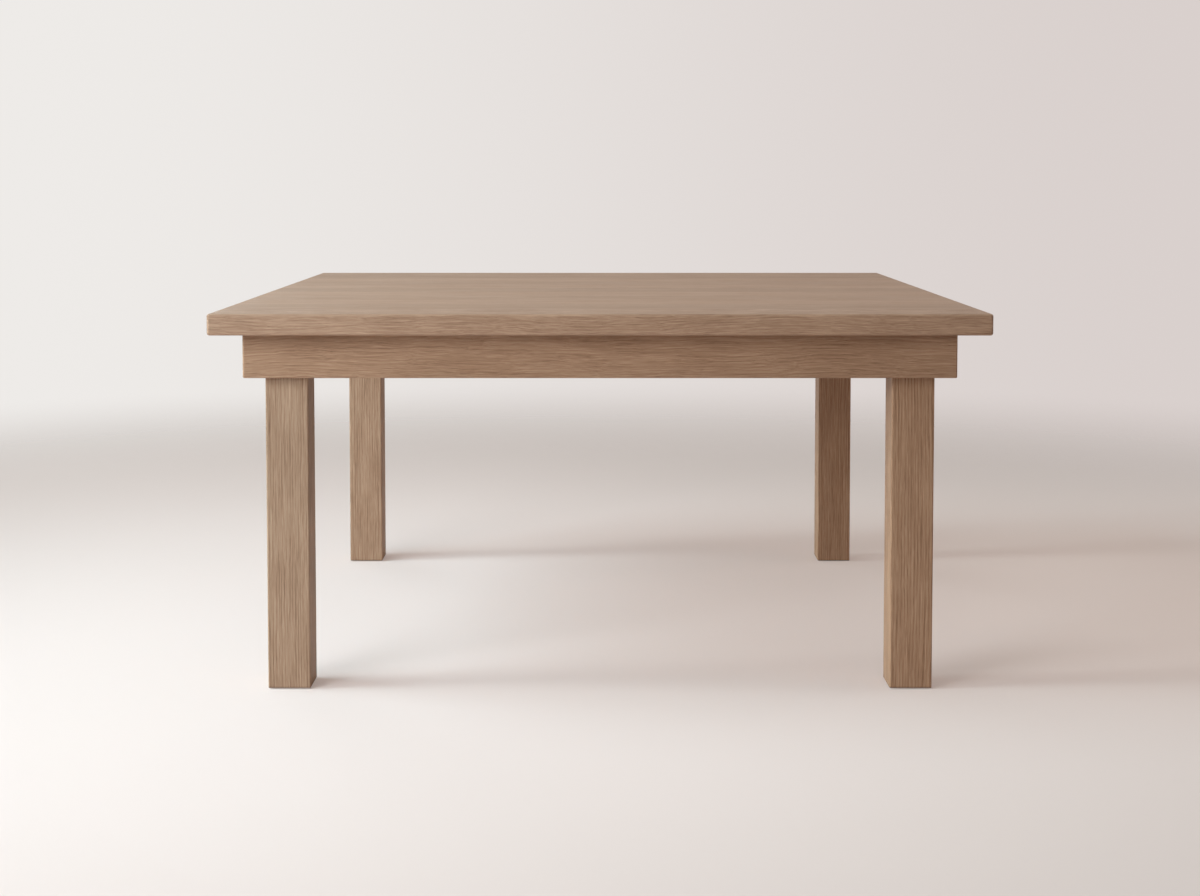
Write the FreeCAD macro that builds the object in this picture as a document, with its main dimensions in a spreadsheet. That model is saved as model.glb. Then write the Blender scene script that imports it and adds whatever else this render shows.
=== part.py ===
# Square dining table in solid oak: a glued-up top, a mitred apron under it and four
# square legs bolted inside the apron's corners, with a levelling glide in each leg.
# Millimetres, +Z up. The floor is Z = 0 under the middle of the top, the front faces -Y.
import FreeCAD
import Part
import Sketcher
import math
import os

# Driving dimensions: name, value, meaning
SIZES = (
    ("table_height", 762, "floor to the upper face of the top"),
    ("top_length", 1524, "top along X, the way of its grain"),
    ("top_width", 1524, "top along Y, across its boards"),
    ("top_thickness", 42, "thickness of the top"),
    ("top_edge_radius", 5, "rounding of every outer edge of the top"),
    ("board_count", 11, "boards glued side by side in the top"),
    ("spline_thickness", 6, "loose spline between two boards"),
    ("spline_depth", 10, "how far a spline enters each board"),
    ("spline_setback", 45, "end of the top to the end of a spline groove"),
    ("overhang", 58, "edge of the top to the face of the apron"),
    ("apron_thickness", 38, "thickness of an apron"),
    ("apron_height", 89, "height of an apron"),
    ("apron_corner_radius", 4, "rounding of the frame's upright corners"),
    ("apron_edge_radius", 3, "rounding of an apron's lower edges"),
    ("key_thickness", 6, "loose key across each mitre"),
    ("key_depth", 12, "how far a key enters each apron"),
    ("key_height", 60, "length of a key, down from the top of the apron"),
    ("leg_width", 85, "side of a square leg"),
    ("leg_edge_radius", 3, "rounding of a leg's upright edges"),
    ("leg_foot_chamfer", 1, "bevel round the foot of a leg"),
    ("leg_ground_gap", 2, "floor to the foot of a leg"),
    ("bolt_diameter", 8, "shank of a leg bolt"),
    ("bolt_head_diameter", 13, "head of a leg bolt"),
    ("bolt_head_height", 8, "head of a leg bolt"),
    ("bolt_socket_width", 6, "hexagon key size of a leg bolt, across flats"),
    ("bolt_socket_depth", 4, "hexagon socket in a leg bolt's head"),
    ("bolt_head_setback", 4, "face of the leg to the head sunk in it"),
    ("bolt_hole_clearance", 0.5, "round the shank of a leg bolt"),
    ("bolt_end_gap", 3, "end of a leg bolt to the end of its insert"),
    ("washer_diameter", 20, "washer of a leg bolt"),
    ("washer_thickness", 2, "washer of a leg bolt"),
    ("counterbore_clearance", 1, "round a washer in its counterbore"),
    ("insert_diameter", 12, "threaded insert in an apron"),
    ("insert_length", 22, "threaded insert in an apron"),
    ("drill_allowance", 2, "blind hole past the end of what it holds"),
    ("bearer_count", 3, "bearers from the front apron to the back apron"),
    ("bearer_width", 45, "bearer along X"),
    ("bearer_height", 70, "bearer along Z"),
    ("bearer_edge_radius", 3, "rounding of a bearer's lower edges"),
    ("tenon_thickness", 15, "stub tenon at each end of a bearer"),
    ("tenon_height", 36, "stub tenon at each end of a bearer"),
    ("tenon_length", 18, "stub tenon at each end of a bearer"),
    ("tenon_wall", 7, "wood between a tenon and the clip slot over it"),
    ("kerf_width", 3.2, "saw slot that takes the clips"),
    ("kerf_depth", 10, "saw slot that takes the clips"),
    ("kerf_drop", 12, "underside of the top to the upper wall of the slot"),
    ("clip_thickness", 1.6, "sheet of a clip"),
    ("clip_width", 20, "clip along its slot"),
    ("clip_tongue", 9, "how far a clip enters its slot"),
    ("clip_stand_off", 0.5, "upright of a clip to the wood"),
    ("clip_flange", 24, "clip under the top"),
    ("clip_bend_radius", 1.4, "outside of a clip's bends"),
    ("screw_diameter", 4, "shank of a clip's screw"),
    ("screw_length", 22, "screw above its head"),
    ("screw_tip", 4, "pointed end of a screw"),
    ("screw_head_diameter", 8, "head of a clip's screw"),
    ("screw_head_height", 2.6, "head of a clip's screw"),
    ("screw_drive_width", 2.4, "square recess in a screw's head"),
    ("screw_drive_depth", 1.6, "square recess in a screw's head"),
    ("screw_hole_clearance", 0.3, "round a screw in its clip"),
    ("glue_gap", 0.1, "glue line round splines, keys, tenons and inserts"),
    ("thread_gap", 0.05, "between a thread and the one that it turns in"),
    ("felt_thickness", 2, "felt under a glide"),
    ("felt_margin", 1, "edge of the glide's base to the edge of its felt"),
    ("glide_diameter", 38, "base of a glide"),
    ("glide_thickness", 6, "base of a glide"),
    ("glide_edge_radius", 1.5, "rounding of a glide's upper edge"),
    ("glide_recess_clearance", 3, "round a glide in the foot of its leg"),
    ("glide_travel", 15, "how far a glide screws out of its leg"),
    ("stem_diameter", 8, "threaded stem of a glide"),
    ("stem_grip", 14, "thread still held when the glide is screwed right out"),
    ("stem_end_room", 5, "free hole over the end of a stem"),
    ("stem_hole_clearance", 1, "round a stem above its insert"),
    ("spigot_gap", 0.1, "round the part of a stem that turns in its base"),
    ("rivet_lip", 1.5, "how far a stem's riveted end reaches past its spigot"),
    ("rivet_height", 1.5, "riveted end of a stem"),
    ("rivet_room", 0.5, "round the riveted end of a stem"),
    ("collar_width", 13, "hexagon collar of a stem, across flats"),
    ("collar_height", 5, "hexagon collar of a stem"),
    ("stop_gap", 0.3, "collar to insert when the glide is screwed right in"),
    ("socket_diameter", 12, "threaded insert in the foot of a leg"),
    ("socket_length", 20, "threaded insert in the foot of a leg"),
    ("flange_diameter", 20, "flange of the insert in the foot of a leg"),
    ("flange_thickness", 1.5, "flange of the insert in the foot of a leg"),
)

# Sizes that follow from the driving dimensions
UNDERSIDE = "(sizes.table_height - sizes.top_thickness)"
BOARD_WIDTH = "(sizes.top_width / sizes.board_count)"
GROOVE_LENGTH = "(sizes.top_length - 2 * sizes.spline_setback)"
FRAME_X = "(sizes.top_length - 2 * sizes.overhang)"
FRAME_Y = "(sizes.top_width - 2 * sizes.overhang)"
APRON_BASE = f"({UNDERSIDE} - sizes.apron_height)"
INNER_Y = f"({FRAME_Y} - 2 * sizes.apron_thickness)"
CLEAR_X = f"({FRAME_X} - 2 * sizes.apron_thickness - 2 * sizes.leg_width)"
LEG_LENGTH = f"({UNDERSIDE} - sizes.leg_ground_gap)"
LEG_MIDDLE = "(sizes.leg_width / 2)"
COUNTERBORE = "(sizes.washer_thickness + sizes.bolt_head_height + sizes.bolt_head_setback)"
BOLT_SEAT = f"(sizes.leg_width - {COUNTERBORE})"
BOLT_LENGTH = f"({BOLT_SEAT} + sizes.washer_thickness + sizes.insert_length - sizes.bolt_end_gap)"
BOLT_ZONE = "(sizes.apron_height - sizes.kerf_drop - sizes.kerf_width)"
TENON_DROP = "(sizes.kerf_drop + sizes.kerf_width + sizes.tenon_wall)"
SCREW_REACH = "(sizes.clip_stand_off + sizes.clip_flange / 2)"
COLLAR_BASE = "(sizes.felt_thickness + sizes.glide_thickness)"
FLANGE_BASE = f"({COLLAR_BASE} + sizes.collar_height + sizes.stop_gap)"
RECESS_TOP = f"({FLANGE_BASE} + sizes.flange_thickness)"
STEM_LENGTH = "(sizes.stop_gap + sizes.flange_thickness + sizes.glide_travel + sizes.stem_grip)"

# Each corner is named after its leg, with the signs of its X and Y. Apron number n
# starts at corner number n, and each is a quarter turn from the one before.
CORNERS = (
    ("front_left", "-", "-"),
    ("front_right", "", "-"),
    ("back_right", "", ""),
    ("back_left", "-", ""),
)
APRONS = (("front", FRAME_X), ("right", FRAME_Y), ("back", FRAME_X), ("left", FRAME_Y))

# Bolt rows share the bolt zone evenly, and the aprons that meet at a leg take turns, so
# that crossing bolts pass over each other
BOLT_ROWS = 5
ROWS_AT_START = range(1, BOLT_ROWS, 2)
ROWS_AT_END = range(2, BOLT_ROWS, 2)

# Across the grain, clips hold every other board from this one on, counted from 0
FIRST_CLIPPED_BOARD = 2
CLIPPED_BOARD_STEP = 2

HEXAGON_SIDES = 6
NEAR = 0.01

Vector = FreeCAD.Vector
Rotation = FreeCAD.Rotation
NO_TURN = Rotation()
ALONG_X = Rotation(Vector(0, 0, 1), Vector(1, 0, 0))
ALONG_Y = Rotation(Vector(0, 0, 1), Vector(0, 1, 0))
TOWARDS_X_FACE = Rotation(Vector(0, 0, 1), Vector(-1, 0, 0))
TOWARDS_Y_FACE = Rotation(Vector(0, 0, 1), Vector(0, -1, 0))

doc = FreeCAD.newDocument("dining_table")
pieces = []


# Spreadsheet of the driving dimensions

sheet = doc.addObject("Spreadsheet::Sheet", "sizes")
for row, (name, number, meaning) in enumerate(SIZES, start=1):
    sheet.set(f"A{row}", name)
    sheet.set(f"B{row}", str(number))
    sheet.setAlias(f"B{row}", name)
    sheet.set(f"C{row}", meaning)
doc.recompute()


def value(expression):
    """The number that an expression over the sheet stands for."""
    return float(sheet.evalExpression(expression))


def quarter(number):
    """A number of quarter turns about the upright axis."""
    return Rotation(Vector(0, 0, 1), 90 * number)


# Building blocks

def bind(thing, **expressions):
    """Ties properties to the sheet."""
    for name, expression in expressions.items():
        thing.setExpression(name, expression)


def place(thing, x, y, z, turn=NO_TURN):
    """Turns a thing and ties its position to the sheet."""
    thing.Placement = FreeCAD.Placement(Vector(), turn)
    for axis, expression in zip("xyz", (x, y, z)):
        thing.setExpression(f"Placement.Base.{axis}", expression)


def new_body(label):
    """An empty piece under its own name."""
    body = doc.addObject("PartDesign::Body", label)
    body.Label = label
    return body


def keep(piece):
    """Lists a piece for export."""
    pieces.append(piece)
    return piece


def new_sketch(body, name, role):
    """An empty sketch on one of the body's own planes."""
    sketch = body.newObject("Sketcher::SketchObject", name)
    plane = next(item for item in body.Origin.OriginFeatures if item.Role == role)
    sketch.AttachmentSupport = (plane, [""])
    sketch.MapMode = "FlatFace"
    return sketch


def draw_outline(sketch, corners, arcs=None):
    """Closes a line through the corners, anticlockwise; a side listed in arcs has that radius."""
    arcs = arcs or {}
    points = [Vector(value(x), value(y), 0) for x, y in corners]
    for side, start in enumerate(points):
        end = points[(side + 1) % len(points)]
        sketch.addGeometry(side_line(start, end, arcs.get(side)), False)
    for side, (x, y) in enumerate(corners):
        following = (side + 1) % len(corners)
        sketch.addConstraint(Sketcher.Constraint("Coincident", side, 2, following, 1))
        tie(sketch, Sketcher.Constraint("DistanceX", -1, 1, side, 1, points[side].x), x)
        tie(sketch, Sketcher.Constraint("DistanceY", -1, 1, side, 1, points[side].y), y)
    for side, radius in arcs.items():
        tie(sketch, Sketcher.Constraint("Radius", side, value(radius)), radius)


def side_line(start, end, radius):
    """A straight side, or an anticlockwise arc when it has a radius."""
    if radius is None:
        return Part.LineSegment(start, end)
    half_chord = (end - start) * 0.5
    to_centre = Vector(-half_chord.y, half_chord.x, 0).normalize()
    rise = math.sqrt(value(radius) ** 2 - half_chord.Length ** 2)
    centre = start + half_chord + to_centre * rise
    middle = centre - to_centre * value(radius)
    return Part.Arc(start, middle, end)


def tie(sketch, constraint, expression):
    """Adds a constraint whose size comes from the sheet."""
    number = sketch.addConstraint(constraint)
    sketch.setExpression(f"Constraints[{number}]", expression)


def pad(body, name, corners, length, role="XY_Plane", arcs=None, symmetric=False):
    """Extrudes an outline."""
    sketch = new_sketch(body, f"{name}_outline", role)
    draw_outline(sketch, corners, arcs)
    feature = body.newObject("PartDesign::Pad", name)
    feature.Profile = sketch
    feature.SideType = "Symmetric" if symmetric else "One side"
    bind(feature, Length=length)
    doc.recompute()
    return feature


def block(body, name, length, width, height):
    """A plain block from the body's own origin."""
    corners = (("0", "0"), (length, "0"), (length, width), ("0", width))
    return pad(body, name, corners, height)


def primitive(body, kind, name, at, turn=NO_TURN, **sizes):
    """Adds or takes away a simple solid: kind is for example SubtractiveBox."""
    feature = body.newObject(f"PartDesign::{kind}", name)
    place(feature, *at, turn)
    bind(feature, **sizes)
    return feature


def rod(body, name, at, radius, height, turn=NO_TURN):
    """Adds a cylinder."""
    return primitive(body, "AdditiveCylinder", name, at, turn, Radius=radius, Height=height)


def bore(body, name, at, radius, height, turn=NO_TURN):
    """Takes a cylinder away."""
    return primitive(body, "SubtractiveCylinder", name, at, turn, Radius=radius, Height=height)


def slot(body, name, at, length, width, height, turn=NO_TURN):
    """Takes a block away."""
    return primitive(body, "SubtractiveBox", name, at, turn, Length=length, Width=width, Height=height)


def edges(feature, chosen):
    """Names of the feature's edges whose bounding box is chosen."""
    found = enumerate(feature.Shape.Edges, start=1)
    return [f"Edge{number}" for number, edge in found if chosen(edge.BoundBox)]


def dress(body, kind, name, feature, chosen, size):
    """Rounds (Fillet) or bevels (Chamfer) the chosen edges of a feature."""
    dressed = body.newObject(f"PartDesign::{kind}", name)
    dressed.Base = (feature, edges(feature, chosen))
    bind(dressed, **{"Radius" if kind == "Fillet" else "Size": size})
    doc.recompute()
    return dressed


def group(label, template, placements):
    """One node of separate, equal solids, each a copy of the template."""
    doc.recompute()
    solids = []
    for placement in placements:
        solid = template.Shape.copy()
        solid.Placement = placement.multiply(template.Placement)
        solids.append(solid)
    feature = doc.addObject("Part::Feature", label)
    feature.Label = label
    feature.Shape = Part.makeCompound(solids)
    feature.Placement = FreeCAD.Placement()
    return keep(feature)


def spot(x, y, z, turn=NO_TURN):
    """A placement worked out from the sheet."""
    return FreeCAD.Placement(Vector(value(x), value(y), value(z)), turn)


# Where the bearers, the clips and their screws go

def bearer_places():
    """Middles of the bearers along X, which share the clear length between the legs."""
    count = int(value("sizes.bearer_count"))
    return [f"({CLEAR_X} * ({number + 1} / (sizes.bearer_count + 1) - 0.5))" for number in range(count)]


def bay_places():
    """Middles of the bays between the legs and the bearers along X."""
    count = int(value("sizes.bearer_count")) + 1
    return [f"({CLEAR_X} * (({number} + 0.5) / (sizes.bearer_count + 1) - 0.5))" for number in range(count)]


def clip_rows():
    """Middles along Y of the boards that clips hold across the grain, every other board."""
    last = int(value("sizes.board_count")) - 1
    clipped = range(FIRST_CLIPPED_BOARD, last, CLIPPED_BOARD_STEP)
    return [f"({BOARD_WIDTH} * ({number} + 0.5) - sizes.top_width / 2)" for number in clipped]


def clip_places():
    """X and Y on the face of the wood under each clip, and the quarter turns of its flange."""
    face_x = f"({FRAME_X} / 2 - sizes.apron_thickness)"
    face_y = f"({FRAME_Y} / 2 - sizes.apron_thickness)"
    places = []
    for x in bay_places():
        places.append((x, f"-{face_y}", 0))
        places.append((x, face_y, 2))
    for number, y in enumerate(clip_rows()):
        places.append((face_x, y, 1))
        places.append((f"-{face_x}", y, 3))
        on_the_right = number % 2 == 0
        for x in bearer_places():
            if on_the_right:
                places.append((f"({x} + sizes.bearer_width / 2)", y, 3))
            else:
                places.append((f"({x} - sizes.bearer_width / 2)", y, 1))
    return places


def screw_places():
    """X and Y of each clip's screw, ahead of the wood in the way that the flange points."""
    ahead = (("0", "1"), ("-1", "0"), ("0", "-1"), ("1", "0"))
    places = []
    for x, y, turns in clip_places():
        step_x, step_y = ahead[turns]
        places.append((f"({x} + {step_x} * {SCREW_REACH})", f"({y} + {step_y} * {SCREW_REACH})"))
    return places


# Top: boards and the splines between them

def make_board(number, last):
    """One board of the top: grooved where it meets the next, rounded where it ends the top."""
    body = new_body(f"top_board_{number + 1:02d}")
    length = value("sizes.top_length")
    width = value(BOARD_WIDTH)
    blank = block(body, "blank", "sizes.top_length", BOARD_WIDTH, "sizes.top_thickness")

    def outside(box):
        at_end = box.XMax < NEAR or box.XMin > length - NEAR
        at_front = number == 0 and box.YMax < NEAR
        at_back = number == last and box.YMin > width - NEAR
        upright = box.ZLength > NEAR
        if upright:
            return at_end and (at_front or at_back)
        return at_end or at_front or at_back

    dress(body, "Fillet", "rounded_edges", blank, outside, "sizes.top_edge_radius")
    if number > 0:
        cut_spline_groove(body, "front_groove", "0")
    if number < last:
        cut_spline_groove(body, "back_groove", f"{BOARD_WIDTH} - sizes.spline_depth - sizes.glue_gap")
    cut_pilot_holes(body, number)
    board_front = f"{BOARD_WIDTH} * {number} - sizes.top_width / 2"
    place(body, "-sizes.top_length / 2", board_front, UNDERSIDE)
    return keep(body)


def cut_spline_groove(body, name, y):
    """Stopped groove along one edge of a board, half way up."""
    height = "(sizes.spline_thickness + 2 * sizes.glue_gap)"
    at = ("sizes.spline_setback", y, f"(sizes.top_thickness - {height}) / 2")
    slot(body, name, at, GROOVE_LENGTH, "sizes.spline_depth + sizes.glue_gap", height)


def cut_pilot_holes(body, number):
    """Holes from below for the clip screws that reach this board."""
    radius = "sizes.screw_diameter / 2 + sizes.thread_gap"
    depth = "sizes.screw_length - sizes.clip_thickness + sizes.drill_allowance"
    front = value(f"{BOARD_WIDTH} * {number} - sizes.top_width / 2")
    back = front + value(BOARD_WIDTH)
    for hole, (x, y) in enumerate(screw_places()):
        if front - value(radius) < value(y) < back + value(radius):
            local_y = f"{y} + sizes.top_width / 2 - {BOARD_WIDTH} * {number}"
            at = (f"{x} + sizes.top_length / 2", local_y, "0")
            bore(body, f"pilot_hole_{hole}", at, radius, depth)


def make_top_splines(last):
    """A loose spline in each seam of the top."""
    spline = doc.addObject("Part::Box", "spline_pattern")
    bind(spline, Length=f"{GROOVE_LENGTH} - 2 * sizes.glue_gap")
    bind(spline, Width="2 * sizes.spline_depth", Height="sizes.spline_thickness")
    x = "sizes.spline_setback + sizes.glue_gap - sizes.top_length / 2"
    z = f"{UNDERSIDE} + (sizes.top_thickness - sizes.spline_thickness) / 2"
    places = []
    for seam in range(1, last + 1):
        places.append(spot(x, f"{BOARD_WIDTH} * {seam} - sizes.top_width / 2 - sizes.spline_depth", z))
    return group("top_splines", spline, places)


# Aprons and the keys in their mitres

def make_apron(number):
    """One mitred apron, outer face at Y = 0, inner face towards +Y, from corner to corner along X."""
    side, length = APRONS[number]
    body = new_body(f"apron_{side}")
    thickness = "sizes.apron_thickness"
    radius = "sizes.apron_corner_radius"
    nick = f"{radius} * (1 - sqrt(0.5))"
    corners = (
        (radius, "0"),
        (f"{length} - {radius}", "0"),
        (f"{length} - {nick}", nick),
        (f"{length} - {thickness}", thickness),
        (thickness, thickness),
        (nick, nick),
    )
    blank = pad(body, "blank", corners, "sizes.apron_height", arcs={1: radius, 5: radius})
    inner_face = value(thickness)
    corner_end = value(radius)

    def lower_edge(box):
        along_the_length = box.YMax < corner_end + NEAR or box.YMin > inner_face - NEAR
        return box.ZMax < NEAR and along_the_length

    dress(body, "Fillet", "rounded_edges", blank, lower_edge, "sizes.apron_edge_radius")
    cut_clip_kerf(body, length)
    cut_key_slots(body, length)
    cut_insert_holes(body, length)
    if length == FRAME_X:
        cut_mortises(body)
    corner, sign_x, sign_y = CORNERS[number]
    place(body, f"{sign_x}{FRAME_X} / 2", f"{sign_y}{FRAME_Y} / 2", APRON_BASE, quarter(number))
    return keep(body)


def cut_clip_kerf(body, length):
    """Saw slot along the inner face of an apron."""
    at = ("0", "sizes.apron_thickness - sizes.kerf_depth", BOLT_ZONE)
    slot(body, "clip_kerf", at, length, "sizes.kerf_depth", "sizes.kerf_width")


def cut_key_slots(body, length):
    """Slots square to the mitre at both ends, open at the top."""
    thickness = "(sizes.key_thickness + 2 * sizes.glue_gap)"
    depth = "(sizes.key_depth + sizes.glue_gap)"
    middle = "sizes.apron_thickness / 2"
    back = f"{thickness} / 2 * sqrt(0.5)"
    reach = f"{depth} * sqrt(0.5)"
    height = "sizes.apron_height - sizes.key_height - sizes.glue_gap"
    deep = "sizes.key_height + sizes.glue_gap"
    at_start = (f"{middle} - {back}", f"{middle} - {back}", height)
    at_end = (f"{length} - {middle} - {reach} - {back}", f"{middle} - {reach} + {back}", height)
    slot(body, "start_key_slot", at_start, depth, thickness, deep, Rotation(Vector(0, 0, 1), -45))
    slot(body, "end_key_slot", at_end, thickness, depth, deep, Rotation(Vector(0, 0, 1), -45))


def cut_insert_holes(body, length):
    """Blind holes in the inner face for the threaded inserts of the leg bolts."""
    radius = "sizes.insert_diameter / 2 + sizes.glue_gap"
    depth = "(sizes.insert_length + sizes.drill_allowance)"
    from_end = f"(sizes.apron_thickness + {LEG_MIDDLE})"
    y = f"sizes.apron_thickness - {depth}"
    for row in ROWS_AT_START:
        at = (from_end, y, f"{BOLT_ZONE} * {row} / {BOLT_ROWS}")
        bore(body, f"insert_hole_{row}", at, radius, depth, ALONG_Y)
    for row in ROWS_AT_END:
        at = (f"{length} - {from_end}", y, f"{BOLT_ZONE} * {row} / {BOLT_ROWS}")
        bore(body, f"insert_hole_{row}", at, radius, depth, ALONG_Y)


def cut_mortises(body):
    """Mortises in the inner face for the bearers' tenons."""
    width = "(sizes.tenon_thickness + 2 * sizes.glue_gap)"
    height = "(sizes.tenon_height + 2 * sizes.glue_gap)"
    depth = "(sizes.tenon_length + sizes.glue_gap)"
    z = f"sizes.apron_height - {TENON_DROP} + sizes.glue_gap - {height}"
    for number, x in enumerate(bearer_places()):
        at = (f"{FRAME_X} / 2 + {x} - {width} / 2", f"sizes.apron_thickness - {depth}", z)
        slot(body, f"mortise_{number}", at, width, depth, height)


def make_mitre_keys():
    """A loose key across each mitre, pushed in from above."""
    key = doc.addObject("Part::Box", "key_pattern")
    bind(key, Length="2 * sizes.key_depth", Width="sizes.key_thickness", Height="sizes.key_height")
    place(key, "-sizes.key_depth", "-sizes.key_thickness / 2", "-sizes.key_height")
    inset = "sizes.apron_thickness / 2"
    places = []
    for number, (name, sign_x, sign_y) in enumerate(CORNERS):
        x = f"{sign_x}({FRAME_X} / 2 - {inset})"
        y = f"{sign_y}({FRAME_Y} / 2 - {inset})"
        places.append(spot(x, y, UNDERSIDE, Rotation(Vector(0, 0, 1), 90 * number - 45)))
    return group("mitre_keys", key, places)


# Legs, their bolts, washers and inserts

def make_leg(number):
    """One leg from its outer corner: both outer faces lie against an apron."""
    name, sign_x, sign_y = CORNERS[number]
    body = new_body(f"leg_{name}")
    blank = block(body, "blank", "sizes.leg_width", "sizes.leg_width", LEG_LENGTH)

    def upright(box):
        return box.ZLength > NEAR

    def at_foot(box):
        return box.ZMax < NEAR

    rounded = dress(body, "Fillet", "rounded_edges", blank, upright, "sizes.leg_edge_radius")
    dress(body, "Chamfer", "foot_bevel", rounded, at_foot, "sizes.leg_foot_chamfer")
    for row in ROWS_AT_START:
        cut_bolt_hole(body, row, (LEG_MIDDLE, "0"), (LEG_MIDDLE, BOLT_SEAT), ALONG_Y)
    for row in ROWS_AT_END:
        cut_bolt_hole(body, row, ("0", LEG_MIDDLE), (BOLT_SEAT, LEG_MIDDLE), ALONG_X)
    cut_glide_holes(body)
    x = f"{sign_x}({FRAME_X} / 2 - sizes.apron_thickness)"
    y = f"{sign_y}({FRAME_Y} / 2 - sizes.apron_thickness)"
    place(body, x, y, "sizes.leg_ground_gap", quarter(number))
    return keep(body)


def bolt_height(row):
    """Height of a row of bolts over the foot of the leg."""
    return f"({APRON_BASE} - sizes.leg_ground_gap + {BOLT_ZONE} * {row} / {BOLT_ROWS})"


def cut_bolt_hole(body, row, start, seat, turn):
    """A hole right through the leg, and the counterbore for head and washer on the inner face."""
    height = bolt_height(row)
    clear = "sizes.bolt_diameter / 2 + sizes.bolt_hole_clearance"
    wide = "sizes.washer_diameter / 2 + sizes.counterbore_clearance"
    bore(body, f"bolt_hole_{row}", (*start, height), clear, "sizes.leg_width", turn)
    bore(body, f"counterbore_{row}", (*seat, height), wide, COUNTERBORE, turn)


def cut_glide_holes(body):
    """Recess in the foot for the glide, the hole for its insert and room for its stem."""
    wide = "sizes.glide_diameter / 2 + sizes.glide_recess_clearance"
    deep = f"({RECESS_TOP} - sizes.leg_ground_gap)"
    room = f"({STEM_LENGTH} - sizes.stop_gap - sizes.flange_thickness + sizes.stem_end_room)"
    bore(body, "glide_recess", (LEG_MIDDLE, LEG_MIDDLE, "0"), wide, deep)
    at = (LEG_MIDDLE, LEG_MIDDLE, deep)
    bore(body, "socket_hole", at, "sizes.socket_diameter / 2 + sizes.glue_gap", "sizes.socket_length")
    bore(body, "stem_room", at, "sizes.stem_diameter / 2 + sizes.stem_hole_clearance", room)


def bolt_spots(legs, distance):
    """Placements at a distance from each leg's outer face, pointing into the apron."""
    places = []
    for leg in legs:
        for row in ROWS_AT_START:
            local = spot(LEG_MIDDLE, distance, bolt_height(row), TOWARDS_Y_FACE)
            places.append(leg.Placement.multiply(local))
        for row in ROWS_AT_END:
            local = spot(distance, LEG_MIDDLE, bolt_height(row), TOWARDS_X_FACE)
            places.append(leg.Placement.multiply(local))
    return places


def make_leg_bolts(legs):
    """Socket-head bolts: the shank points along +Z from the underside of the head."""
    bolt = new_body("leg_bolt_pattern")
    head_base = "-sizes.bolt_head_height"
    rod(bolt, "head", ("0", "0", head_base), "sizes.bolt_head_diameter / 2", "sizes.bolt_head_height")
    rod(bolt, "shank", ("0", "0", "0"), "sizes.bolt_diameter / 2", BOLT_LENGTH)
    across_corners = "sizes.bolt_socket_width / sqrt(3)"
    key_hole = primitive(bolt, "SubtractivePrism", "key_socket", ("0", "0", head_base))
    key_hole.Polygon = HEXAGON_SIDES
    bind(key_hole, Circumradius=across_corners, Height="sizes.bolt_socket_depth")
    return group("leg_bolts", bolt, bolt_spots(legs, f"{BOLT_SEAT} + sizes.washer_thickness"))


def make_leg_washers(legs):
    """A washer under each bolt head, on the floor of its counterbore."""
    washer = new_body("leg_washer_pattern")
    at = ("0", "0", "-sizes.washer_thickness")
    rod(washer, "disc", at, "sizes.washer_diameter / 2", "sizes.washer_thickness")
    hole = "sizes.bolt_diameter / 2 + sizes.bolt_hole_clearance"
    bore(washer, "hole", at, hole, "sizes.washer_thickness")
    return group("leg_bolt_washers", washer, bolt_spots(legs, BOLT_SEAT))


def make_apron_inserts(legs):
    """Threaded inserts in the aprons, flush with the inner face."""
    insert = new_body("apron_insert_pattern")
    at = ("0", "0", "0")
    rod(insert, "barrel", at, "sizes.insert_diameter / 2", "sizes.insert_length")
    bore(insert, "thread", at, "sizes.bolt_diameter / 2 + sizes.thread_gap", "sizes.insert_length")
    return group("leg_bolt_inserts", insert, bolt_spots(legs, "0"))


# Bearers under the top

def make_bearer(label, x):
    """A bearer from apron to apron, with a stub tenon at each end and a clip slot on each side."""
    body = new_body(label)
    blank = block(body, "blank", "sizes.bearer_width", INNER_Y, "sizes.bearer_height")

    def lower_edge(box):
        return box.ZMax < NEAR and box.XLength < NEAR

    dress(body, "Fillet", "rounded_edges", blank, lower_edge, "sizes.bearer_edge_radius")
    tenon_x = "(sizes.bearer_width - sizes.tenon_thickness) / 2"
    tenon_z = f"sizes.bearer_height - {TENON_DROP} - sizes.tenon_height"
    for name, y in (("front_tenon", "-sizes.tenon_length"), ("back_tenon", INNER_Y)):
        tenon = primitive(body, "AdditiveBox", name, (tenon_x, y, tenon_z))
        bind(tenon, Length="sizes.tenon_thickness", Width="sizes.tenon_length", Height="sizes.tenon_height")
    kerf_z = "sizes.bearer_height - sizes.kerf_drop - sizes.kerf_width"
    for name, kerf_x in (("left_kerf", "0"), ("right_kerf", "sizes.bearer_width - sizes.kerf_depth")):
        slot(body, name, (kerf_x, "0", kerf_z), "sizes.kerf_depth", INNER_Y, "sizes.kerf_width")
    place(body, f"{x} - sizes.bearer_width / 2", f"-{INNER_Y} / 2", f"{UNDERSIDE} - sizes.bearer_height")
    return keep(body)


# Clips and screws that hold the top down

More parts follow.
